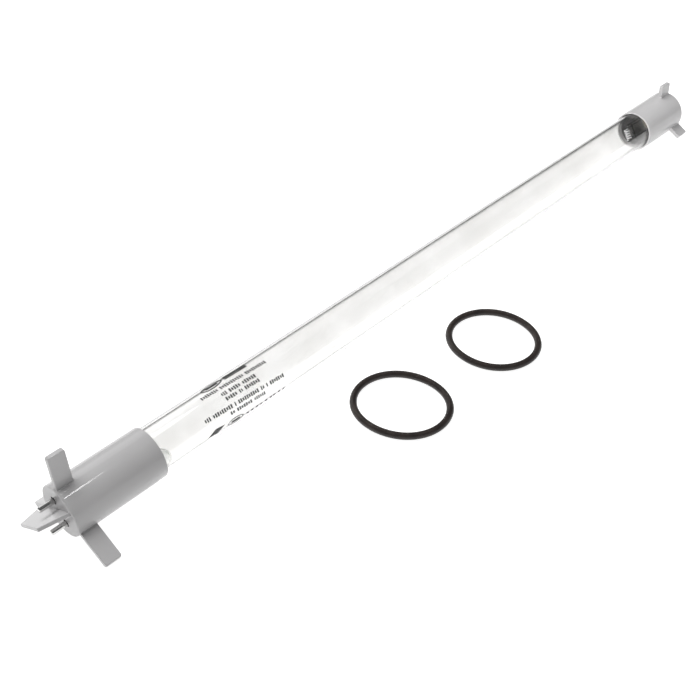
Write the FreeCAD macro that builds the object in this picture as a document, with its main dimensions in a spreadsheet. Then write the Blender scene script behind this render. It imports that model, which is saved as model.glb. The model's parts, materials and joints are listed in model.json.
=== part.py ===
import FreeCAD, Part
import math
import os

import Sketcher

# Spare lamp of a pond or aquarium UV clarifier with its two sealing rings.
# Frame: +X runs along the lamp from the keyed near end to the far end, +Z is up, and the
# origin is at the bottom centre of everything, on the surface that the parts lie on.
# The lamp rests on two fins of its near end cap and on the barrel of its far end cap.

Vector = FreeCAD.Vector
X_AXIS, Y_AXIS, Z_AXIS = Vector(1, 0, 0), Vector(0, 1, 0), Vector(0, 0, 1)

SIZES = {
    "lamp_length": 544.0,  # end face to end face
    "tube_outer_d": 26.0,
    "tube_wall": 1.5,
    "tube_setback": 9.0,  # end face of a cap to the end of the glass
    "tube_shoulder": 4.0,
    "tube_neck_d": 18.0,
    "cap_outer_d": 29.0,
    "cap_bore_d": 26.8,
    "cap_end_wall": 3.0,
    "cap_rim_radius": 0.9,
    "cap_lip_radius": 0.3,
    "near_cap_length": 53.5,
    "far_cap_length": 45.0,
    "fin_thickness": 2.8,
    "fin_setback": 1.0,  # end face to the front of the fins
    "fin_corner_radius": 1.3,
    "fin_edge_radius": 0.4,
    "fin_root_radius": 0.8,
    "fin_root_sink": 0.8,  # how far a fin runs into the barrel
    "near_fin_reach": 34.6,  # lamp axis to fin tip
    "near_fin_width": 10.4,
    "far_fin_reach": 23.2,
    "far_fin_width": 11.6,
    "key_reach": 14.6,  # how far the key blade stands out of the near end face
    "key_root_depth": 1.6,
    "key_root_outer": 24.5,
    "key_tip_outer": 16.7,
    "key_tip_inner": 5.1,
    "key_root_inner": 13.1,
    "key_thickness": 2.0,
    "key_edge_radius": 0.35,
    "pin_pitch": 12.7,
    "pin_d": 3.0,
    "pin_reach": 8.5,
    "pin_tail": 7.5,
    "pin_dome": 0.7,
    "pin_neck_d": 1.9,  # inside the cap, below the round contact stretch
    "pin_neck_gap": 0.3,
    "recess_d": 4.4,  # round recess about each pin
    "recess_depth": 1.2,
    "carrier_thickness": 2.0,
    "carrier_gap": 0.2,
    "cement_start": 9.5,
    "cement_mouth_gap": 3.5,
    "flare_wall": 1.0,
    "flare_length": 15.0,
    "stem_neck_d": 13.0,
    "stem_neck_length": 4.0,
    "stem_floor": 1.0,
    "near_press_length": 13.0,
    "far_press_length": 23.0,  # comes close to the far filament
    "press_width": 12.0,
    "press_thickness": 4.4,
    "post_pitch": 9.0,
    "post_d": 0.9,
    "near_post_end": 46.0,  # end face to the filament
    "far_post_end": 54.0,
    "lead_d": 0.7,
    "stub_d": 3.6,
    "stub_length": 11.0,
    "stub_tip_length": 0.4,
    "stub_tip_r": 0.5,
    "coil_d": 3.4,
    "coil_wire_d": 0.5,
    "coil_turns": 6.0,
    "capsule_d": 10.0,
    "capsule_length": 13.7,
    "capsule_wall": 0.6,
    "capsule_start": 48.0,
    "capsule_along": -5.4,  # its axis, along the pin line from the lamp's axis
    "capsule_across": 1.8,
    "support_d": 0.6,
    "support_along": -3.5,
    "support_across": 3.2,  # clear of the press and the filament
    "support_seat": 0.3,
    "amalgam_d": 4.0,
    "amalgam_gap": 0.5,
    "ring_mean_d": 51.0,
    "ring_section_d": 4.0,
    "ring_a_x": 176.0,  # ring centres, from the near end face and the lamp's axis
    "ring_a_y": -59.5,
    "ring_b_x": 253.0,
    "ring_b_y": -62.5,
    "cut_overrun": 1.0,  # how far a cut runs past what it goes through
}

CLOSE = 0.01  # places nearer than this are taken as one

doc = FreeCAD.newDocument("uv_lamp_kit")
sheet = doc.addObject("Spreadsheet::Sheet", "Sizes")
for row, (alias, value) in enumerate(SIZES.items(), start=1):
    sheet.set(f"A{row}", alias)
    sheet.set(f"B{row}", str(value))
    sheet.setAlias(f"B{row}", alias)
doc.recompute()


def size(alias):
    """The number in the sheet's cell of this name."""
    return float(sheet.get(alias))


def origin_plane(body, role):
    """The body's own origin plane."""
    return next(feature for feature in body.Origin.OriginFeatures if feature.Role == role)


def new_body(name):
    body = doc.addObject("PartDesign::Body", name)
    body.Label = name
    return body


def cell(expression):
    """An expression in plain size names becomes one that reads the sheet's cells."""
    words = expression.split(" ")
    return " ".join(f"Sizes.{word}" if word in SIZES else word for word in words)


def new_sketch(body, name, role):
    sketch = body.newObject("Sketcher::SketchObject", f"{body.Name}_{name}")
    sketch.AttachmentSupport = [(origin_plane(body, role), "")]
    sketch.MapMode = "FlatFace"
    return sketch


def bind(sketch, constraint, expression):
    index = sketch.addConstraint(constraint)
    sketch.setExpression(f"Constraints[{index}]", cell(expression))


def outline_sketch(body, name, role, corners):
    """A closed outline of straight lines whose corners are bound to the sheet."""
    sketch = new_sketch(body, name, role)
    count = len(corners)
    start = [Vector(10 * math.cos(2 * math.pi * i / count), 10 * math.sin(2 * math.pi * i / count), 0)
             for i in range(count)]
    for i in range(count):
        sketch.addGeometry(Part.LineSegment(start[i], start[(i + 1) % count]), False)
    for i in range(count):
        sketch.addConstraint(Sketcher.Constraint("Coincident", i, 2, (i + 1) % count, 1))
    for i, (across, up) in enumerate(corners):
        bind(sketch, Sketcher.Constraint("DistanceX", -1, 1, i, 1, start[i].x), across)
        bind(sketch, Sketcher.Constraint("DistanceY", -1, 1, i, 1, start[i].y), up)
    return sketch


def circle_sketch(body, name, role, circles):
    """Circles, each given as (across, up, diameter)."""
    sketch = new_sketch(body, name, role)
    for i, (across, up, diameter) in enumerate(circles):
        sketch.addGeometry(Part.Circle(Vector(0, 0, 0), Z_AXIS, 1), False)
        bind(sketch, Sketcher.Constraint("DistanceX", -1, 1, i, 3, 0), across)
        bind(sketch, Sketcher.Constraint("DistanceY", -1, 1, i, 3, 0), up)
        bind(sketch, Sketcher.Constraint("Diameter", i, 2), diameter)
    return sketch


def revolve(body, sketch, groove=False):
    """Turn a sketch about the X axis."""
    kind = "PartDesign::Groove" if groove else "PartDesign::Revolution"
    feature = body.newObject(kind, f"{sketch.Name}_turn")
    feature.Profile = sketch
    feature.ReferenceAxis = (sketch, ["H_Axis"])
    feature.Angle = 360
    return feature


def pad(body, sketch, length, both_ways=False, backwards=False):
    feature = body.newObject("PartDesign::Pad", f"{sketch.Name}_pad")
    feature.Profile = sketch
    feature.setExpression("Length", cell(length))
    feature.Midplane = both_ways
    feature.Reversed = backwards
    return feature


def pocket(body, sketch, depth):
    """Cut along +X from the YZ plane."""
    feature = body.newObject("PartDesign::Pocket", f"{sketch.Name}_cut")
    feature.Profile = sketch
    feature.setExpression("Length", cell(depth))
    feature.Reversed = True
    doc.recompute()
    before = feature.BaseFeature.Shape.Volume
    if feature.Shape.Volume > before - CLOSE:
        raise RuntimeError(f"{feature.Name} cuts nothing")
    return feature


def edges_where(shape, test):
    return [f"Edge{i}" for i, edge in enumerate(shape.Edges, start=1) if test(edge)]


def round_edges(body, base, name, radius, test):
    doc.recompute()
    feature = body.newObject("PartDesign::Fillet", f"{body.Name}_{name}")
    feature.Base = (base, edges_where(base.Shape, test))
    feature.setExpression("Radius", cell(radius))
    body.Tip = feature
    return feature


def off_axis(point):
    return math.hypot(point.y, point.z)


def is_ring(edge, x, radius):
    """A full circle about the X axis at this place."""
    if not isinstance(edge.Curve, Part.Circle):
        return False
    centred = off_axis(edge.Curve.Center) < CLOSE
    return centred and abs(edge.Curve.Center.x - x) < CLOSE and abs(edge.Curve.Radius - radius) < CLOSE


# ---------------------------------------------------------------- places of the lamp's pieces
# Each piece of an end is drawn from that end's face inwards along +X. The near end's pieces
# stay there. The far end's are turned half round about the keyed fin's line, which leaves the
# fins and the pin line as they were.

FIN_ANGLES = (90, 210, 330)  # about the lamp's axis, from +Y towards +Z
KEYED_FIN = 330
low_fin_slope = math.radians(FIN_ANGLES[1] - 180)

fin_round = size("fin_edge_radius")
fin_end = size("near_fin_reach") - fin_round
fin_half = size("fin_thickness") / 2 - fin_round
fin_drop = fin_end * math.sin(low_fin_slope) + fin_half * math.cos(low_fin_slope) + fin_round
barrel_drop = size("cap_outer_d") / 2
rest_span = size("lamp_length") - size("cap_rim_radius") - size("near_fin_width")
tilt_angle = math.atan2(fin_drop - barrel_drop, rest_span)
lamp_tilt = math.degrees(tilt_angle)
near_axis_height = fin_drop * math.cos(tilt_angle) + size("near_fin_width") * math.sin(tilt_angle)

ring_outer_r = (size("ring_mean_d") + size("ring_section_d")) / 2
fin_spread = fin_end * math.cos(low_fin_slope) + fin_half * math.sin(low_fin_slope) + fin_round
low_x = -size("key_reach")
high_x = size("lamp_length") + size("pin_reach")
low_y = size("ring_b_y") - ring_outer_r
high_y = fin_spread
centre = Vector((low_x + high_x) / 2, (low_y + high_y) / 2, 0)

lamp_frame = FreeCAD.Placement(Vector(-centre.x, -centre.y, near_axis_height),
                               FreeCAD.Rotation(Y_AXIS, lamp_tilt))

# The two pins of an end stand on a line 60 degrees up from the floor, square to the keyed fin.
PIN_LINE = 60.0
ALONG_PINS = Vector(0, math.cos(math.radians(PIN_LINE)), math.sin(math.radians(PIN_LINE)))
ACROSS_PINS = X_AXIS.cross(ALONG_PINS)
PIN_SIDES = {("near", "upper"): 1, ("near", "lower"): -1, ("far", "upper"): -1, ("far", "lower"): 1}

far_end = FreeCAD.Placement(Vector(size("lamp_length"), 0, 0), FreeCAD.Rotation(ACROSS_PINS, 180))
END_FRAMES = {"near": lamp_frame, "far": lamp_frame.multiply(far_end)}


def sideways(distance):
    """Expressions for a point on the pin line, this far from the axis."""
    return (f"( {distance} ) * cos({PIN_LINE} deg)", f"( {distance} ) * sin({PIN_LINE} deg)")


def off_pin_line(along, across):
    """Expressions for a point this far along the pin line and square to it."""
    return (f"{along} * cos({PIN_LINE} deg) - {across} * sin({PIN_LINE} deg)",
            f"{along} * sin({PIN_LINE} deg) + {across} * cos({PIN_LINE} deg)")


def pin_line_offset(along, across):
    """The same point as a vector, from the names of its two sizes."""
    return (ALONG_PINS * size(along)).add(ACROSS_PINS * size(across))


nodes = {}


def place(piece, placement):
    piece.Placement = placement
    nodes[piece.Label] = piece


# ---------------------------------------------------------------- glass tube

def make_tube():
    """Clear tube, necked in at both ends."""
    body = new_body("quartz_tube")
    near, far = "tube_setback", "( lamp_length - tube_setback )"
    outer, inner, neck = "tube_outer_d / 2", "tube_outer_d / 2 - tube_wall", "tube_neck_d / 2"
    corners = [
        (near, neck),
        (near, f"{neck} + tube_wall / 2"),
        (f"{near} + tube_shoulder", outer),
        (f"{far} - tube_shoulder", outer),
        (far, f"{neck} + tube_wall / 2"),
        (far, neck),
        (f"{far} - tube_wall", neck),
        (f"{far} - tube_shoulder - tube_wall / 2", inner),
        (f"{near} + tube_shoulder + tube_wall / 2", inner),
        (f"{near} + tube_wall", neck),
    ]
    revolve(body, outline_sketch(body, "wall", "XZ_Plane", corners))
    place(body, lamp_frame)


# ---------------------------------------------------------------- end caps

def make_cap(end):
    """Cup with three fins at 120 degrees, one of them straight up, and two pin holes."""
    body = new_body(f"{end}_end_cap")
    length, reach, width = f"{end}_cap_length", f"{end}_fin_reach", f"{end}_fin_width"
    outer = "cap_outer_d / 2"
    cup = revolve(body, outline_sketch(body, "cup", "XZ_Plane", [
        ("0", "0"),
        ("0", outer),
        (length, outer),
        (length, "cap_bore_d / 2"),
        ("cap_end_wall", "cap_bore_d / 2"),
        ("cap_end_wall", "0"),
    ]))
    outer_r, bore_r = size("cap_outer_d") / 2, size("cap_bore_d") / 2
    rim = round_edges(body, cup, "rim", "cap_rim_radius", lambda edge: is_ring(edge, 0, outer_r))
    lip = round_edges(body, rim, "lip", "cap_lip_radius",
                      lambda edge: any(is_ring(edge, size(length), radius) for radius in (outer_r, bore_r)))

    fin_root = f"{outer} - fin_root_sink"
    fin_sketch = outline_sketch(body, "fin", "XZ_Plane", [
        ("fin_setback", fin_root),
        ("fin_setback", reach),
        (width, reach),
        (width, fin_root),
    ])
    fin = pad(body, fin_sketch, "fin_thickness", both_ways=True)
    fins = body.newObject("PartDesign::PolarPattern", f"{body.Name}_fins")
    fins.Originals = [fin]
    fins.Axis = (fin_sketch, ["H_Axis"])
    fins.Angle = 360
    fins.Occurrences = 3
    body.Tip = fins
    tips = round_edges(body, fins, "fin_corners", "fin_corner_radius",
                       lambda edge: all(off_axis(v.Point) > size(reach) - 0.1 for v in edge.Vertexes)
                       and abs(edge.Vertexes[0].X - edge.Vertexes[-1].X) < CLOSE)
    softened = round_edges(body, tips, "fin_edges", "fin_edge_radius",
                           lambda edge: outlines_a_fin(edge, outer_r))
    round_edges(body, softened, "fin_roots", "fin_root_radius",
                lambda edge: meets_the_barrel(edge, outer_r, size(width)))
    if end == "near":
        add_key(body)
    pitch = "pin_pitch / 2"
    recesses = circle_sketch(body, "recesses", "YZ_Plane",
                             [(*sideways(f"{sign} * {pitch}"), "recess_d") for sign in (1, -1)])
    pocket(body, recesses, "recess_depth")
    holes = circle_sketch(body, "pin_holes", "YZ_Plane",
                          [(*sideways(f"{sign} * {pitch}"), "pin_neck_d") for sign in (1, -1)])
    pocket(body, holes, "cap_end_wall + cut_overrun")
    place(body, END_FRAMES[end])


def face_normal(angle):
    """Square to the broad faces of a fin that points this way."""
    return Vector(0, -math.sin(math.radians(angle)), math.cos(math.radians(angle)))


def outlines_a_fin(edge, outer_r):
    """An edge round one of a fin's two broad faces, off the barrel."""
    points = [vertex.Point for vertex in edge.Vertexes]
    if len(points) < 2 or max(off_axis(point) for point in points) < outer_r + 0.5:
        return False
    for angle in FIN_ANGLES:
        sides = [point.dot(face_normal(angle)) for point in points]
        if all(abs(abs(side) - size("fin_thickness") / 2) < CLOSE for side in sides):
            return sides[0] * sides[1] > 0
    return False


def meets_the_barrel(edge, outer_r, back):
    """An edge of a fin's root, on the surface of the barrel."""
    points = [vertex.Point for vertex in edge.Vertexes]
    front = size("fin_setback")
    on_barrel = all(abs(off_axis(point) - outer_r) < CLOSE for point in points)
    beside_fin = all(front - CLOSE < point.x < back + CLOSE for point in points)
    return len(points) == 2 and on_barrel and beside_fin


def add_key(body):
    """Flat keying blade in the plane of the fin that points away and down."""
    sketch = outline_sketch(body, "key", "XZ_Plane", [
        ("key_root_depth", "key_root_outer"),
        ("0 - key_reach", "key_tip_outer"),
        ("0 - key_reach", "0 - key_tip_inner"),
        ("key_root_depth", "0 - key_root_inner"),
    ])
    # The sketch is turned about the lamp's axis until its upright stands along the keyed fin.
    sketch.MapMode = "Deactivated"
    sketch.Placement = FreeCAD.Placement(Vector(0, 0, 0), FreeCAD.Rotation(X_AXIS, KEYED_FIN))
    blade = pad(body, sketch, "key_thickness", both_ways=True)
    body.Tip = blade
    round_edges(body, blade, "key_edges", "key_edge_radius", outlines_the_key)


def outlines_the_key(edge):
    """An edge round one of the blade's two broad faces, clear of the end wall."""
    points = [vertex.Point for vertex in edge.Vertexes]
    if len(points) != 2 or min(point.x for point in points) > -size("cap_rim_radius"):
        return False
    sides = [point.dot(face_normal(KEYED_FIN)) for point in points]
    return all(abs(abs(side) - size("key_thickness") / 2) < CLOSE for side in sides)


# ---------------------------------------------------------------- contact pins and wiring

def make_pin(end, side):
    """Round contact pin with a domed tip, through the cap's end wall and the carrier."""
    body = new_body(f"{end}_pin_{side}")
    shank = revolve(body, outline_sketch(body, "shank", "XZ_Plane", [
        ("0 - pin_reach", "0"),
        ("0 - pin_reach", "pin_d / 2"),
        ("0 - pin_neck_gap", "pin_d / 2"),
        ("0 - pin_neck_gap", "pin_neck_d / 2"),
        ("pin_tail", "pin_neck_d / 2"),
        ("pin_tail", "0"),
    ]))
    round_edges(body, shank, "dome", "pin_dome",
                lambda edge: is_ring(edge, -size("pin_reach"), size("pin_d") / 2))
    place(body, END_FRAMES[end].multiply(beside_axis(end, side, size("pin_pitch") / 2)))


def beside_axis(end, side, distance, x=0.0):
    """A place on the pin line, on this side of the axis."""
    reach = PIN_SIDES[end, side] * distance
    return FreeCAD.Placement(Vector(x, 0, 0).add(ALONG_PINS * reach), FreeCAD.Rotation())


def make_carrier(end):
    """Insulating disc behind the end wall that holds the two pins."""
    body = new_body(f"{end}_pin_carrier")
    edge = "cap_bore_d / 2 - carrier_gap"
    revolve(body, outline_sketch(body, "disc", "XZ_Plane", [
        ("cap_end_wall", "0"),
        ("cap_end_wall", edge),
        ("cap_end_wall + carrier_thickness", edge),
        ("cap_end_wall + carrier_thickness", "0"),
    ]))
    holes = circle_sketch(body, "pin_holes", "YZ_Plane",
                          [(*sideways(f"{sign} * pin_pitch / 2"), "pin_neck_d") for sign in (1, -1)])
    pocket(body, holes, "cap_end_wall + carrier_thickness + cut_overrun")
    place(body, END_FRAMES[end])


def make_cement(end):
    """Dark basing cement, a sleeve that fills the gap between the cap's bore and the glass."""
    body = new_body(f"{end}_cement_sleeve")
    start, stop = "cement_start + tube_shoulder", f"{end}_cap_length - cement_mouth_gap"
    revolve(body, outline_sketch(body, "sleeve", "XZ_Plane", [
        (start, "tube_outer_d / 2"),
        (start, "cap_bore_d / 2"),
        (stop, "cap_bore_d / 2"),
        (stop, "tube_outer_d / 2"),
    ]))
    place(body, END_FRAMES[end])


PRESS_START = "( tube_setback + flare_length )"


def press_start():
    return size("tube_setback") + size("flare_length")


def through_press(end):
    """Depth of a cut from the end face to just past the press."""
    return f"{PRESS_START} + {end}_press_length + cut_overrun"


def make_stem(end):
    """Glass flare sealed into the tube's neck, pinched flat round the two wires."""
    body = new_body(f"{end}_glass_stem")
    neck, waist = "tube_neck_d / 2", "stem_neck_d / 2"
    revolve(body, outline_sketch(body, "flare", "XZ_Plane", [
        ("tube_setback", neck),
        ("tube_setback + tube_wall", neck),
        (f"{PRESS_START} - stem_neck_length", waist),
        (f"{PRESS_START} + stem_floor", waist),
        (f"{PRESS_START} + stem_floor", "0"),
        (PRESS_START, "0"),
        (PRESS_START, f"{waist} - flare_wall"),
        (f"{PRESS_START} - stem_neck_length", f"{waist} - flare_wall"),
        ("tube_setback", f"{neck} - flare_wall"),
    ]))
    half_width, half_thick = "press_width / 2", "press_thickness / 2"
    press_sketch = outline_sketch(body, "press", "YZ_Plane", [
        (f"0 - {half_width}", f"0 - {half_thick}"),
        (half_width, f"0 - {half_thick}"),
        (half_width, half_thick),
        (f"0 - {half_width}", half_thick),
    ])
    press_sketch.MapMode = "Deactivated"
    press_sketch.Placement = FreeCAD.Placement(Vector(press_start(), 0, 0),
                                               FreeCAD.Rotation(ALONG_PINS, ACROSS_PINS, X_AXIS, "ZXY"))
    press = pad(body, press_sketch, f"{end}_press_length")
    base = round_edges(body, press, "press_edges", "press_thickness / 4",
                       lambda edge: all(abs(v.X - press_start() - size(f"{end}_press_length")) < CLOSE
                                        for v in edge.Vertexes))
    holes = circle_sketch(body, "wire_holes", "YZ_Plane",
                          [(*sideways(f"{sign} * post_pitch / 2"), "post_d") for sign in (1, -1)])
    pocket(body, holes, through_press(end))
    if end == "near":
        support_hole = circle_sketch(body, "support_hole", "YZ_Plane",
                                     [(*off_pin_line("support_along", "support_across"), "support_d")])
        pocket(body, support_hole, through_press(end))
    place(body, END_FRAMES[end])


def make_post(end, side):
    """Stiff inner lead wire, through the press to the filament."""
    post = doc.addObject("Part::Cylinder", f"{end}_post_{side}")
    post.Label = f"{end}_post_{side}"
    post.setExpression("Radius", cell("post_d / 2"))
    post.setExpression("Height", cell(f"{end}_post_end - {PRESS_START}"))
    along_x = FreeCAD.Placement(Vector(0, 0, 0), FreeCAD.Rotation(Z_AXIS, X_AXIS))
    spot = beside_axis(end, side, size("post_pitch") / 2, press_start())
    place(post, END_FRAMES[end].multiply(spot).multiply(along_x))


def make_lead(end, side):
    """Soft outer lead wire from a pin's tail to the press."""
    start = beside_axis(end, side, size("pin_pitch") / 2, size("pin_tail")).Base
    stop = beside_axis(end, side, size("post_pitch") / 2, press_start()).Base
    lead = doc.addObject("Part::Cylinder", f"{end}_lead_{side}")
    lead.Label = f"{end}_lead_{side}"
    lead.setExpression("Radius", cell("lead_d / 2"))
    lead.setExpression("Height", cell(
        f"sqrt(( {PRESS_START} - pin_tail ) ^ 2 + ( pin_pitch / 2 - post_pitch / 2 ) ^ 2)"))
    slope = FreeCAD.Placement(start, FreeCAD.Rotation(Z_AXIS, stop.sub(start)))
    place(lead, END_FRAMES[end].multiply(slope))


def make_stub(end):
    """Sealed stub of the exhaust tube, on the outer side of the stem."""
    body = new_body(f"{end}_exhaust_stub")
    radius = "stub_d / 2"
    revolve(body, outline_sketch(body, "stub", "XZ_Plane", [
        (PRESS_START, "0"),
        (PRESS_START, radius),
        (f"{PRESS_START} - stub_length + {radius}", radius),
        (f"{PRESS_START} - stub_length + stub_tip_length", "stub_tip_r"),
        (f"{PRESS_START} - stub_length", "0"),
    ]))
    place(body, END_FRAMES[end])


def make_filament(end):
    """Coiled filament strung between the two posts."""
    coil_r, wire_r = size("coil_d") / 2, size("coil_wire_d") / 2
    span = size("post_pitch") - size("post_d") - 2 * wire_r
    pitch = span / size("coil_turns")
    helix = Part.makeHelix(pitch, span, coil_r)
    section = Part.Wire(Part.makeCircle(wire_r, Vector(coil_r, 0, 0), Y_AXIS))
    coil = Part.Wire(helix).makePipeShell([section], True, True)
    filament = doc.addObject("Part::Feature", f"{end}_filament")
    filament.Label = f"{end}_filament"
    filament.Shape = coil
    coil_axis_x = size(f"{end}_post_end") - coil_r - wire_r
    spot = FreeCAD.Placement(Vector(coil_axis_x, 0, 0).sub(ALONG_PINS * (span / 2)),
                             FreeCAD.Rotation(Z_AXIS, ALONG_PINS))
    place(filament, END_FRAMES[end].multiply(spot))


# ---------------------------------------------------------------- amalgam capsule

def bullet(name, start, diameter):
    """Round bar along +X with a domed end, from simple solids."""
    along_x = FreeCAD.Rotation(Z_AXIS, X_AXIS)
    bar = doc.addObject("Part::Cylinder", f"{name}_bar")
    bar.setExpression("Radius", cell(f"{diameter} / 2"))
    bar.setExpression("Height", cell(f"capsule_start + capsule_length - capsule_d / 2 - ( {start} )"))
    dome_x = size("capsule_start") + size("capsule_length") - size("capsule_d") / 2
    dome = doc.addObject("Part::Sphere", f"{name}_dome")
    dome.setExpression("Radius", cell(f"{diameter} / 2"))
    doc.recompute()
    aside = pin_line_offset("capsule_along", "capsule_across")
    bar.Placement = FreeCAD.Placement(Vector(dome_x - bar.Height.Value, 0, 0).add(aside), along_x)
    dome.Placement = FreeCAD.Placement(Vector(dome_x, 0, 0).add(aside), along_x)
    whole = doc.addObject("Part::Fuse", name)
    whole.Base, whole.Tool = bar, dome
    return whole


def make_capsule():
    """Thin glass capsule with a domed end, held beside the axis ahead of the near filament."""
    capsule = doc.addObject("Part::Cut", "amalgam_capsule")
    capsule.Label = "amalgam_capsule"
    capsule.Base = bullet("capsule_outside", "capsule_start", "capsule_d")
    cavity = "( capsule_d - 2 * capsule_wall )"
    capsule.Tool = bullet("capsule_inside", "capsule_start + capsule_wall", cavity)
    place(capsule, lamp_frame)


def make_support():
    """Wire that carries the capsule, held in the near stem's press."""
    wire = doc.addObject("Part::Cylinder", "capsule_support_wire")
    wire.Label = "capsule_support_wire"
    wire.setExpression("Radius", cell("support_d / 2"))
    wire.setExpression("Height", cell(f"capsule_start - {PRESS_START} - support_seat"))
    aside = pin_line_offset("support_along", "support_across")
    spot = Vector(press_start() + size("support_seat"), 0, 0).add(aside)
    place(wire, lamp_frame.multiply(FreeCAD.Placement(spot, FreeCAD.Rotation(Z_AXIS, X_AXIS))))


def make_amalgam():
    """Pellet of amalgam inside the capsule."""
    pellet = doc.addObject("Part::Sphere", "amalgam_pellet")
    pellet.Label = "amalgam_pellet"
    pellet.setExpression("Radius", cell("amalgam_d / 2"))
    seat = size("amalgam_d") / 2 + size("capsule_wall")
    spot = Vector(size("capsule_start") + seat + size("amalgam_gap"), 0, seat - size("capsule_d") / 2)
    spot = spot.add(pin_line_offset("capsule_along", "capsule_across"))
    place(pellet, lamp_frame.multiply(FreeCAD.Placement(spot, FreeCAD.Rotation())))


# ---------------------------------------------------------------- sealing rings

def make_ring(name):
    """O-ring lying flat beside the lamp."""
    ring = doc.addObject("Part::Torus", name)
    ring.Label = name
    ring.setExpression("Radius1", cell("ring_mean_d / 2"))
    ring.setExpression("Radius2", cell("ring_section_d / 2"))
    letter = name[-1]
    spot = Vector(size(f"ring_{letter}_x"), size(f"ring_{letter}_y"), size("ring_section_d") / 2)
    place(ring, FreeCAD.Placement(spot.sub(centre), FreeCAD.Rotation()))


make_tube()
for end in END_FRAMES:
    make_cap(end)
    make_carrier(end)
    make_cement(end)
    make_stem(end)
    make_stub(end)
    make_filament(end)
    for side in ("upper", "lower"):
        make_pin(end, side)
        make_post(end, side)
        make_lead(end, side)
make_capsule()
make_support()
make_amalgam()
for ring in ("o_ring_a", "o_ring_b"):
    make_ring(ring)
doc.recompute()

for item in doc.Objects:
    if "Invalid" in item.State or "Error" in item.State:
        raise RuntimeError(f"{item.Label} failed: {item.State}")
for label, piece in nodes.items():
    if piece.Shape.isNull() or not piece.Shape.isValid() or not piece.Shape.Solids:
        raise RuntimeError(f"{label} has no valid solid")

os.makedirs("parts", exist_ok=True)
for label, piece in nodes.items():
    piece.Shape.exportStep(f"parts/{label}.step")
    box = piece.Shape.BoundBox
    spans = [(box.XMin, box.XMax), (box.YMin, box.YMax), (box.ZMin, box.ZMax)]
    reach = "  ".join(f"{low:.2f} to {high:.2f}" for low, high in spans)
    print(f"{label:22s} {len(piece.Shape.Solids)} solid, {piece.Shape.Volume:10.1f} mm3, {reach}")
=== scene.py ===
import json
import math

import bmesh
import bpy
from mathutils import Matrix, Vector


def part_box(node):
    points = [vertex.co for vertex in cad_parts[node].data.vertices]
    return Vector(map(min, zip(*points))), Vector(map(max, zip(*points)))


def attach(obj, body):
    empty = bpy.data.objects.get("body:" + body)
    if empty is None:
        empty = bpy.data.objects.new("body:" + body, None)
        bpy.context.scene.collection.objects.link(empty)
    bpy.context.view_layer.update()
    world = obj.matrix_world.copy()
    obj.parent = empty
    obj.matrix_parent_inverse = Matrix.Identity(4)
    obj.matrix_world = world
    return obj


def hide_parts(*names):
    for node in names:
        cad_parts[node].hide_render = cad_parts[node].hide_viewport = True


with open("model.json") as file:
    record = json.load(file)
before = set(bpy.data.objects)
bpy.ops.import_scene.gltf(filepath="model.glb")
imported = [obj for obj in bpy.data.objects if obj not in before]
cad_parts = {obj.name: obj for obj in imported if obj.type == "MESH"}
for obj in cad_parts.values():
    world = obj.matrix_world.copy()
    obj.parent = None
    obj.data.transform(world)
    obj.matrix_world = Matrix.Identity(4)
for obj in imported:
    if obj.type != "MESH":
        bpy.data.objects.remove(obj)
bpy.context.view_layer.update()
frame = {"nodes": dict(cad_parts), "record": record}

MM = 0.001

# ------------------------------------------------------------------ the lamp's own frame
# Origin at the centre of the near end face, +X along the lamp, in millimetres until placed.

MOUNTS = {mount["name"]: mount for mount in frame["record"]["mounts"]}
FIN_CENTRE_FROM_FACE = 5.2
FIN_MOUNT = MOUNTS["near_fins_in_housing"]
OUTWARD = Vector(FIN_MOUNT["axis"]).normalized()
NEAR_FACE = Vector(FIN_MOUNT["pos_m"]) + OUTWARD * FIN_CENTRE_FROM_FACE * MM
LAMP_X = -OUTWARD
LAMP_Y = Vector((0, 1, 0))
LAMP_Z = LAMP_X.cross(LAMP_Y)
LAMP = Matrix.Translation(NEAR_FACE) @ Matrix((LAMP_X, LAMP_Y, LAMP_Z)).transposed().to_4x4()

PIN_LINE = math.radians(60)
ALONG_PINS = Vector((0, math.cos(PIN_LINE), math.sin(PIN_LINE)))
ACROSS_PINS = Vector((1, 0, 0)).cross(ALONG_PINS)

FAR_MOUNT = MOUNTS["far_fins_in_housing"]
FAR_FIN_CENTRE = 5.8
LAMP_LENGTH = (Vector(FAR_MOUNT["pos_m"]) - NEAR_FACE).length / MM + FAR_FIN_CENTRE
FAR = Matrix.Translation((LAMP_LENGTH, 0, 0)) @ Matrix.Rotation(math.pi, 4, ACROSS_PINS)
END_FRAMES = {"near": Matrix.Identity(4), "far": FAR}

TUBE_R = 12.97  # just inside the CAD tube, so the two never share a face
TUBE_WALL = 1.5
TUBE_SETBACK = 9.0  # from each end face to the glass
NECK_R = 8.97  # where the rounded shoulder ends


# ------------------------------------------------------------------ mesh helpers

def finish_mesh(name, mesh, body, material, sharp_angle=40):
    """Place a mesh drawn in lamp millimetres on the lamp and give it its finish."""
    mesh.transform(Matrix.Scale(MM, 4))
    mesh.transform(LAMP)
    return add_piece(name, mesh, body, material, sharp_angle)


def add_piece(name, mesh, body, material, sharp_angle=40):
    for polygon in mesh.polygons:
        polygon.use_smooth = True
    mesh.set_sharp_from_angle(angle=math.radians(sharp_angle))
    piece = bpy.data.objects.new(name, mesh)
    bpy.context.scene.collection.objects.link(piece)
    piece.data.materials.append(material)
    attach(piece, body)
    return piece


def arc(centre_along, centre_out, radius, start, stop, steps):
    """Points of an arc in a profile, its angles in degrees from the +along direction."""
    points = []
    for i in range(steps + 1):
        angle = math.radians(start + (stop - start) * i / steps)
        points.append((centre_along + radius * math.cos(angle), centre_out + radius * math.sin(angle)))
    return points


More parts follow.
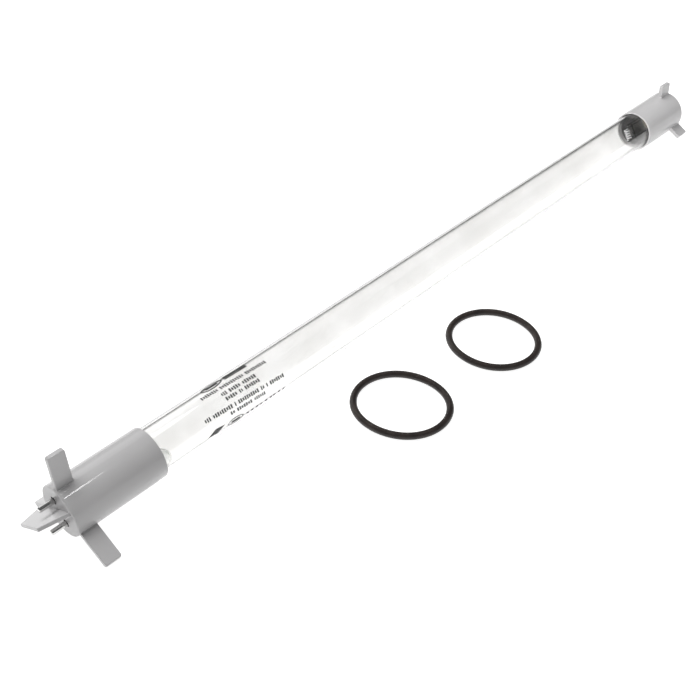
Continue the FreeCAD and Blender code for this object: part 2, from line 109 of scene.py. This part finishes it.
def lathe_mesh(name, profiles, segments=96):
    """Closed profiles of (along, radius) turned about +X. A point of radius 0 is on the axis."""
    shape = bmesh.new()
    for profile in profiles:
        rings = []
        for along, radius in profile:
            if radius < 1e-6:
                rings.append([shape.verts.new((along, 0, 0))])
                continue
            turn = [2 * math.pi * i / segments for i in range(segments)]
            rings.append([shape.verts.new((along, radius * math.cos(t), radius * math.sin(t))) for t in turn])
        for a, b in zip(rings, rings[1:] + rings[:1]):
            join_rings(shape, a, b)
    bmesh.ops.recalc_face_normals(shape, faces=shape.faces)
    mesh = bpy.data.meshes.new(name)
    shape.to_mesh(mesh)
    shape.free()
    return mesh


def join_rings(shape, a, b):
    if len(a) == 1 and len(b) == 1:
        return
    count = max(len(a), len(b))
    for i in range(count):
        k = (i + 1) % count
        if len(a) == 1:
            shape.faces.new((a[0], b[i], b[k]))
        elif len(b) == 1:
            shape.faces.new((a[i], b[0], a[k]))
        else:
            shape.faces.new((a[i], b[i], b[k], a[k]))


def wire_mesh(name, points, radius, sides=14):
    """A round wire along these points, swept with a steady frame and closed at both ends."""
    shape = bmesh.new()
    points = [Vector(p) for p in points]
    rings = []
    normal = None
    for i, point in enumerate(points):
        ahead = points[min(i + 1, len(points) - 1)] - points[max(i - 1, 0)]
        tangent = ahead.normalized()
        if normal is None:
            normal = tangent.orthogonal().normalized()
        normal = (normal - tangent * normal.dot(tangent)).normalized()
        binormal = tangent.cross(normal)
        ring = []
        for k in range(sides):
            angle = 2 * math.pi * k / sides
            outward = normal * math.cos(angle) + binormal * math.sin(angle)
            ring.append(shape.verts.new(point + outward * radius))
        rings.append(ring)
    for a, b in zip(rings, rings[1:]):
        join_rings(shape, a, b)
    shape.faces.new(list(reversed(rings[0])))
    shape.faces.new(rings[-1])
    bmesh.ops.recalc_face_normals(shape, faces=shape.faces)
    mesh = bpy.data.meshes.new(name)
    shape.to_mesh(mesh)
    shape.free()
    return mesh


# ------------------------------------------------------------------ materials

def new_material(name):
    material = bpy.data.materials.new(name)
    material.use_nodes = True
    nodes = material.node_tree.nodes
    return material, nodes, material.node_tree.links, nodes["Principled BSDF"]


def noise(nodes, links, scale, detail=3.0, roughness=0.5):
    """Noise over the object's own space, its scale in features per metre."""
    place = nodes.new("ShaderNodeTexCoord")
    texture = nodes.new("ShaderNodeTexNoise")
    texture.inputs["Scale"].default_value = scale
    texture.inputs["Detail"].default_value = detail
    texture.inputs["Roughness"].default_value = roughness
    links.new(place.outputs["Object"], texture.inputs["Vector"])
    return texture


def ramp(nodes, links, source, stops):
    """Colours along a 0 to 1 value. A stop is (position, (r, g, b))."""
    node = nodes.new("ShaderNodeValToRGB")
    while len(node.color_ramp.elements) < len(stops):
        node.color_ramp.elements.new(0.5)
    for element, (position, colour) in zip(node.color_ramp.elements, stops):
        element.position = position
        element.color = (*colour, 1)
    links.new(source, node.inputs["Fac"])
    return node


def spread(nodes, links, source, low, high):
    """A 0 to 1 value mapped to a range."""
    node = nodes.new("ShaderNodeMapRange")
    node.inputs["To Min"].default_value = low
    node.inputs["To Max"].default_value = high
    links.new(source, node.inputs["Value"])
    return node.outputs["Result"]


def bump(nodes, links, shader, height, strength, distance):
    node = nodes.new("ShaderNodeBump")
    node.inputs["Strength"].default_value = strength
    node.inputs["Distance"].default_value = distance
    links.new(height, node.inputs["Height"])
    links.new(node.outputs["Normal"], shader.inputs["Normal"])


GRAIN_DEPTH = 0.00003  # metres


def surface(name, dark, light, scale, rough, grain, **sockets):
    """Opaque finish whose colour and gloss drift a little, over a fine grain of this scale and strength."""
    material, nodes, links, shader = new_material(name)
    drift = noise(nodes, links, scale)
    tint = ramp(nodes, links, drift.outputs["Fac"], [(0.3, dark), (0.7, light)])
    links.new(tint.outputs["Color"], shader.inputs["Base Color"])
    cloud = noise(nodes, links, scale * 2.7)
    links.new(spread(nodes, links, cloud.outputs["Fac"], *rough), shader.inputs["Roughness"])
    grain_scale, grain_strength = grain
    texture = noise(nodes, links, grain_scale, detail=5.0, roughness=0.6)
    bump(nodes, links, shader, texture.outputs["Fac"], grain_strength, GRAIN_DEPTH)
    for socket, value in sockets.items():
        shader.inputs[socket.replace("_", " ")].default_value = value
    return material


def clear_glass(name, tints, painted_edge_shades, ior, rough):
    """Clear glass with faint smears that casts no shadow, with painted shade darkening it where it is seen
    edge-on.
    """
    material, nodes, links, shader = new_material(name)
    shader.inputs["Transmission Weight"].default_value = 1.0
    shader.inputs["IOR"].default_value = ior
    film = noise(nodes, links, 28, detail=4.0, roughness=0.6)
    body = ramp(nodes, links, film.outputs["Fac"], [(0.35, tints[0]), (0.6, tints[1])])
    # painted shade: darkens the glass colour by how edge-on it is seen, standing in for dark reflections at
    # its edges
    facing = nodes.new("ShaderNodeLayerWeight")
    facing.inputs["Blend"].default_value = 0.5
    painted_edge_stops = [(at, (shade, shade, shade)) for at, shade in painted_edge_shades]
    edge = ramp(nodes, links, facing.outputs["Facing"], painted_edge_stops)
    both = nodes.new("ShaderNodeMix")
    both.data_type = "RGBA"
    both.blend_type = "MULTIPLY"
    both.inputs["Factor"].default_value = 1.0
    links.new(body.outputs["Color"], both.inputs["A"])
    links.new(edge.outputs["Color"], both.inputs["B"])
    links.new(both.outputs["Result"], shader.inputs["Base Color"])
    smear = noise(nodes, links, 35, detail=6.0, roughness=0.7)
    links.new(spread(nodes, links, smear.outputs["Fac"], *rough), shader.inputs["Roughness"])
    clear = nodes.new("ShaderNodeBsdfTransparent")
    ray = nodes.new("ShaderNodeLightPath")
    mix = nodes.new("ShaderNodeMixShader")
    links.new(ray.outputs["Is Shadow Ray"], mix.inputs["Fac"])
    links.new(shader.outputs["BSDF"], mix.inputs[1])
    links.new(clear.outputs["BSDF"], mix.inputs[2])
    links.new(mix.outputs["Shader"], nodes["Material Output"].inputs["Surface"])
    return material


WHITE_PLASTIC = surface("white_plastic", (0.42, 0.414, 0.417), (0.455, 0.45, 0.452), scale=30,
                        rough=(0.34, 0.46), grain=(2600, 0.12),
                        Specular_IOR_Level=0.3, Coat_Weight=0.45, Coat_Roughness=0.05)
CARRIER_BOARD = surface("carrier_board", (0.36, 0.31, 0.24), (0.46, 0.41, 0.33), scale=300,
                        rough=(0.6, 0.8), grain=(1800, 0.5))
DARK_CEMENT = surface("dark_cement", (0.10, 0.10, 0.103), (0.18, 0.178, 0.177), scale=400,
                      rough=(0.55, 0.85), grain=(1500, 0.8))
NICKEL = surface("nickel", (0.58, 0.58, 0.57), (0.74, 0.74, 0.73), scale=700,
                 rough=(0.08, 0.14), grain=(3000, 0.06), Metallic=1.0)
BLACK_WIRE = surface("black_wire", (0.010, 0.010, 0.012), (0.04, 0.04, 0.042), scale=900,
                     rough=(0.35, 0.6), grain=(4000, 0.3), Metallic=0.6)
COPPER_WIRE = surface("copper_wire", (0.42, 0.20, 0.10), (0.60, 0.32, 0.19), scale=900,
                      rough=(0.25, 0.45), grain=(4000, 0.3), Metallic=1.0)
COATED_COIL = surface("coated_coil", (0.62, 0.62, 0.64), (0.86, 0.86, 0.86), scale=1500,
                      rough=(0.5, 0.75), grain=(5000, 0.6))
AMALGAM = surface("amalgam", (0.32, 0.33, 0.35), (0.55, 0.56, 0.58), scale=900,
                  rough=(0.2, 0.4), grain=(2500, 0.6), Metallic=1.0)
INK = surface("print_ink", (0.012, 0.012, 0.012), (0.05, 0.05, 0.05), scale=1200,
              rough=(0.45, 0.65), grain=(3500, 0.4))
RUBBER = surface("seal_rubber", (0.016, 0.012, 0.011), (0.034, 0.026, 0.023), scale=160,
                 rough=(0.42, 0.58), grain=(2200, 0.5))
# each glass's second list is painted edge shade: (how edge-on, how dark)
TUBE_GLASS = clear_glass("tube_glass", [(0.82, 0.817, 0.808), (0.865, 0.863, 0.858)],
                         [(0.6, 1.0), (0.72, 0.45), (0.84, 0.1)], ior=1.46, rough=(0.0, 0.03))
STEM_GLASS = clear_glass("stem_glass", [(0.90, 0.91, 0.90), (0.95, 0.955, 0.95)],
                         [(0.6, 1.0), (0.8, 0.55), (0.95, 0.25)], ior=1.5, rough=(0.01, 0.08))


# ------------------------------------------------------------------ camera, lights and floor

CAMERA_PLACE = Vector((-137.8, -342.3, 363.9))  # millimetres, in the lamp's frame
CAMERA_TURN = [math.radians(angle) for angle in (51.116, 2.284, -46.251)]
CAMERA_LENS = 53.63


def add_camera():
    data = bpy.data.cameras.new("camera")
    data.lens = CAMERA_LENS
    data.sensor_width = 36
    data.clip_start = 0.01
    data.clip_end = 20
    camera = bpy.data.objects.new("camera", data)
    bpy.context.scene.collection.objects.link(camera)
    turn = Matrix.Rotation(CAMERA_TURN[2], 4, "Z") @ Matrix.Rotation(CAMERA_TURN[1], 4, "Y") \
        @ Matrix.Rotation(CAMERA_TURN[0], 4, "X")
    camera.matrix_world = LAMP @ Matrix.Translation(CAMERA_PLACE * MM) @ turn
    bpy.context.scene.camera = camera


def add_sun(name, elevation, width, strength):
    """Broad even light from behind the lamp, its height and its width in degrees."""
    data = bpy.data.lights.new(name, "SUN")
    data.angle = math.radians(width)
    data.energy = strength
    light = bpy.data.objects.new(name, data)
    bpy.context.scene.collection.objects.link(light)
    high = math.radians(elevation)
    towards = Vector((0, math.cos(high), math.sin(high)))
    light.rotation_euler = towards.to_track_quat("Z", "Y").to_euler()
    return light


def add_soft_box(name, place, target, width, depth, power):
    data = bpy.data.lights.new(name, "AREA")
    data.shape = "RECTANGLE"
    data.size = width
    data.size_y = depth
    data.energy = power
    light = bpy.data.objects.new(name, data)
    bpy.context.scene.collection.objects.link(light)
    light.location = place
    light.rotation_euler = (Vector(place) - Vector(target)).to_track_quat("Z", "Y").to_euler()
    light.visible_camera = False
    return light


def add_spot(name, place, target, cone, power):
    data = bpy.data.lights.new(name, "SPOT")
    data.spot_size = math.radians(cone)
    data.spot_blend = 1.0
    data.shadow_soft_size = 0.04
    data.energy = power
    light = bpy.data.objects.new(name, data)
    bpy.context.scene.collection.objects.link(light)
    light.location = place
    light.rotation_euler = (Vector(place) - Vector(target)).to_track_quat("Z", "Y").to_euler()
    light.visible_camera = False


def add_stage():
    """A white table that glows a little, as over a light box, a dim room and broad light from above."""
    half = 1.5
    corners = [(-half, -half, 0), (half, -half, 0), (half, half, 0), (-half, half, 0)]
    mesh = bpy.data.meshes.new("floor")
    mesh.from_pydata(corners, [], [(0, 1, 2, 3)])
    floor = bpy.data.objects.new("floor", mesh)
    bpy.context.scene.collection.objects.link(floor)
    floor.location.z = -0.0002  # just under the lowest fins
    material, nodes, links, shader = new_material("floor_paper")
    drift = noise(nodes, links, 3)
    tint = ramp(nodes, links, drift.outputs["Fac"], [(0.3, (0.36, 0.36, 0.36)), (0.7, (0.38, 0.38, 0.38))])
    links.new(tint.outputs["Color"], shader.inputs["Base Color"])
    shader.inputs["Roughness"].default_value = 0.9
    shader.inputs["Specular IOR Level"].default_value = 0.1
    shader.inputs["Emission Color"].default_value = (1, 1, 1, 1)
    shader.inputs["Emission Strength"].default_value = 0.94
    mesh.materials.append(material)

    world = bpy.data.worlds.new("studio")
    world.use_nodes = True
    background = world.node_tree.nodes["Background"]
    background.inputs["Color"].default_value = (0.98, 0.99, 1.0, 1)
    ray = world.node_tree.nodes.new("ShaderNodeLightPath")
    backdrop = world.node_tree.nodes.new("ShaderNodeMapRange")
    backdrop.inputs["To Min"].default_value = 0.13
    backdrop.inputs["To Max"].default_value = 1.1
    world.node_tree.links.new(ray.outputs["Is Camera Ray"], backdrop.inputs["Value"])
    world.node_tree.links.new(backdrop.outputs["Result"], background.inputs["Strength"])
    bpy.context.scene.world = world
    key = add_sun("key", 73, 45, 3.25)
    key.visible_glossy = False
    add_soft_box("glint", (0.09, -0.17, 1.15), (-0.26, 0.03, 0.02), 0.10, 0.07, 0.55)
    panel = add_soft_box("back_panel", (0.04, 0.74, 0.66), (-0.28, 0, 0.03), 0.40, 0.60, 1.0)
    panel.visible_diffuse = False
    add_spot("mouth_fill", (-0.35, -0.16, 0.26), (0.236, 0.03, 0.027), 11, 17)
    bpy.context.scene.view_settings.view_transform = "Standard"


add_camera()
add_stage()


# ------------------------------------------------------------------ glass tube and its print

def tube_profile(outer, neck, inset):
    """Tube outline with rounded shoulders at both ends, from near to far."""
    near, far = TUBE_SETBACK + inset, LAMP_LENGTH - TUBE_SETBACK - inset
    radius = outer - neck
    steps = 12
    rise = arc(near + radius, neck, radius, 180, 90, steps)
    fall = arc(far - radius, neck, radius, 90, 0, steps)
    return rise + fall


def make_tube():
    outside = tube_profile(TUBE_R, NECK_R, 0)
    inside = tube_profile(TUBE_R - TUBE_WALL, NECK_R, TUBE_WALL)
    mesh = lathe_mesh("glass_tube", [outside + list(reversed(inside))], segments=160)
    piece = finish_mesh("glass_tube", mesh, "lamp", TUBE_GLASS)
    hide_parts("quartz_tube")


PRINT_R = TUBE_R + 0.03
PRINT_THICK = 0.02


def on_tube(along, angle, radius=PRINT_R):
    return Vector((along, radius * math.cos(math.radians(angle)), radius * math.sin(math.radians(angle))))


def add_patch(shape, outline):
    """A thin printed patch on the glass. The outline is (along, angle) points, in order."""
    low = [shape.verts.new(on_tube(a, t, PRINT_R)) for a, t in outline]
    high = [shape.verts.new(on_tube(a, t, PRINT_R + PRINT_THICK)) for a, t in outline]
    shape.faces.new(low)
    shape.faces.new(list(reversed(high)))
    count = len(outline)
    for i in range(count):
        k = (i + 1) % count
        shape.faces.new((low[k], low[i], high[i], high[k]))


DEGREES_PER_MM = math.degrees(1 / TUBE_R)
ROW_SLOPE = 0.2  # degrees round the tube for each millimetre along it
TICK, TICK_GAP = 0.95, 0.5
# Rows of plain bars, generic marks with no lettering: (angle, middle, bar height, lengths of the groups)
PRINT_ROWS = [
    (100, 109.6, 2.2, (11.0, 15.5, 14.0)),
    (117, 109.5, 2.2, (3.8, 7.5, 9.0)),
    (131, 110.0, 2.1, (7.5, 2.5, 10.0)),
    (151, 108.8, 2.3, (4.0, 13.0, 1.2, 14.0, 2.6, 1.2, 10.0)),
    (166, 109.3, 2.0, (3.0, 10.5, 8.0)),
]
GROUP_GAP = 1.3
FAINT_ROW = (191.5, (107.0, 110.2, 113.6, 116.4, 120.0, 123.4, 126.0, 129.5, 132.6))


def add_bar(shape, along, angle, length, tall):
    half = tall / 2 * DEGREES_PER_MM
    lean = ROW_SLOPE * length
    add_patch(shape, [(along, angle - half), (along + length, angle + lean - half),
                      (along + length, angle + lean + half), (along, angle + half)])


def add_row(shape, angle, middle, tall, groups):
    along = middle - (sum(groups) + GROUP_GAP * (len(groups) - 1)) / 2
    for group in groups:
        ticks = max(round(group / (TICK + TICK_GAP)), 1)
        step = group / ticks
        for i in range(ticks):
            start = along + i * step
            share = 1.0 if (i + ticks) % 3 else 0.72
            add_bar(shape, start, angle + ROW_SLOPE * (start - middle), step - TICK_GAP, tall * share)
        along += group + GROUP_GAP


def add_oval(shape, along, angle, half_length, half_height, line):
    """An oval ring mark round this place on the tube."""
    steps = 28
    for i in range(steps):
        corners = []
        for turn, shrink in ((i, 0), (i + 1, 0), (i + 1, line), (i, line)):
            t = 2 * math.pi * turn / steps
            out = (half_height - shrink) * math.sin(t) * DEGREES_PER_MM
            corners.append((along + (half_length - shrink) * math.cos(t), angle + out))
        add_patch(shape, corners)


def make_print():
    shape = bmesh.new()
    for row in PRINT_ROWS:
        add_row(shape, *row)
    angle, places = FAINT_ROW
    for along in places:
        add_bar(shape, along, angle, 1.6, 1.3)
    add_oval(shape, 98.3, 77, 7.0, 2.6, 1.0)
    add_bar(shape, 94.6, 76, 7.4, 2.0)
    add_bar(shape, 106.4, 77, 15.0, 3.2)
    add_oval(shape, 99.3, 188, 5.4, 2.0, 0.6)
    add_bar(shape, 96.4, 187.5, 5.8, 1.4)
    add_patch(shape, [(80.8, 188), (86.0, 176), (92.4, 180), (87.0, 192)])
    add_patch(shape, [(418.1, 156), (418.4, 154.8), (418.7, 156), (418.4, 157.2)])  # a far speck
    bmesh.ops.recalc_face_normals(shape, faces=shape.faces)
    mesh = bpy.data.meshes.new("print_rows")
    shape.to_mesh(mesh)
    shape.free()
    finish_mesh("print_rows", mesh, "lamp", INK)


make_tube()
make_print()


# ------------------------------------------------------------------ finishes of the CAD nodes that are kept

KEPT = {
    "end_cap": WHITE_PLASTIC,
    "pin_carrier": CARRIER_BOARD,
    "cement_sleeve": DARK_CEMENT,
    "glass_stem": STEM_GLASS,
    "exhaust_stub": STEM_GLASS,
    "post_upper": BLACK_WIRE,
    "post_lower": BLACK_WIRE,
    "lead_upper": COPPER_WIRE,
    "lead_lower": COPPER_WIRE,
}


def repaint(node, material):
    data = frame["nodes"][node].data
    data.materials.clear()
    data.materials.append(material)


for end in END_FRAMES:
    for piece, material in KEPT.items():
        repaint(f"{end}_{piece}", material)
repaint("amalgam_capsule", STEM_GLASS)
repaint("amalgam_pellet", AMALGAM)
repaint("capsule_support_wire", BLACK_WIRE)


# ------------------------------------------------------------------ contact pins

PIN_R, PIN_NECK_R = 1.49, 0.94
PIN_TIP, PIN_TAIL = -8.5, 7.5  # from the end face, outwards and inwards
PIN_DOME = 0.75
PIN_STEP = -0.3  # where the round contact stretch ends
PIN_SIDES = {"upper": 1, "lower": -1}
PIN_PITCH = 12.7
FAR_UPPER_IS_BEHIND = {"near": 1, "far": -1}


def make_pins():
    """Round pins with domed tips, a little thinner inside the cap."""
    profile = [(PIN_TIP, 0)]
    profile += arc(PIN_TIP + PIN_DOME, PIN_R - PIN_DOME, PIN_DOME, 180, 90, 10)
    profile += [(PIN_STEP, PIN_R), (PIN_STEP, PIN_NECK_R)]
    profile += [(PIN_TAIL - 0.3, PIN_NECK_R), (PIN_TAIL, PIN_NECK_R - 0.3), (PIN_TAIL, 0)]
    for end, frame_of_end in END_FRAMES.items():
        for side, sign in PIN_SIDES.items():
            mesh = lathe_mesh(f"pin_{end}_{side}", [profile], segments=48)
            shift = ALONG_PINS * (PIN_PITCH / 2 * sign * FAR_UPPER_IS_BEHIND[end])
            mesh.transform(frame_of_end @ Matrix.Translation(shift))
            piece = finish_mesh(f"pin_{end}_{side}", mesh, "lamp", NICKEL)
            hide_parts(f"{end}_pin_{side}")


make_pins()


# ------------------------------------------------------------------ filaments

COIL_R, COIL_WIRE_R = 1.7, 0.22
COIL_TURNS, COIL_HALF_SPAN = 4.5, 3.8
POST_AXIS = 4.5  # from the lamp's axis to the middle of a post


def make_filament(end):
    """Open coil between the two posts, its straight ends clamped to them."""
    low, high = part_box(f"{end}_filament")
    middle = LAMP.inverted() @ ((low + high) / 2) / MM
    middle = Vector((middle.x, 0, 0))
    per_turn = 28
    steps = round(COIL_TURNS * per_turn)
    points = [middle - ALONG_PINS * POST_AXIS]
    for i in range(steps + 1):
        turn = math.radians(180 + 360 * i / per_turn)
        out = Vector((math.cos(turn), 0, 0)) + ACROSS_PINS * math.sin(turn)
        points.append(middle + ALONG_PINS * COIL_HALF_SPAN * (2 * i / steps - 1) + out * COIL_R)
    points.append(middle + ALONG_PINS * POST_AXIS)
    mesh = wire_mesh(f"coil_{end}", points, COIL_WIRE_R)
    piece = finish_mesh(f"coil_{end}", mesh, "lamp", COATED_COIL)
    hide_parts(f"{end}_filament")


for end in END_FRAMES:
    make_filament(end)


# ------------------------------------------------------------------ sealing rings

RING_SECTION_R = 2.0
SEAM_RISE = 0.05
SEAM_HALF = 0.22


def make_ring(node, body, slack, slack_angle):
    """O-ring with a fine mould seam, lying a little out of round."""
    low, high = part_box(node)
    centre = (low + high) / 2
    mean_r = (high.x - low.x) / 2 / MM - RING_SECTION_R
    around, about = 192, 48
    shape = bmesh.new()
    rings = []
    for i in range(around):
        turn = 2 * math.pi * i / around
        oval = slack * math.cos(2 * (turn - math.radians(slack_angle)))
        ring = []
        for k in range(about):
            angle = 2 * math.pi * k / about
            height = RING_SECTION_R * math.sin(angle)
            seam = SEAM_RISE * math.exp(-(height / SEAM_HALF) ** 2)
            out = mean_r + oval + (RING_SECTION_R + seam) * math.cos(angle)
            ring.append(shape.verts.new((out * math.cos(turn), out * math.sin(turn), height)))
        rings.append(ring)
    for a, b in zip(rings, rings[1:] + rings[:1]):
        join_rings(shape, a, b)
    bmesh.ops.recalc_face_normals(shape, faces=shape.faces)
    mesh = bpy.data.meshes.new(f"seal_{node}")
    shape.to_mesh(mesh)
    shape.free()
    mesh.transform(Matrix.Translation(centre) @ Matrix.Scale(MM, 4))
    piece = add_piece(f"seal_{node}", mesh, body, RUBBER, sharp_angle=60)
    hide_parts(node)


make_ring("o_ring_a", "ring_a", 1.8, 97)
make_ring("o_ring_b", "ring_b", 1.6, 83)
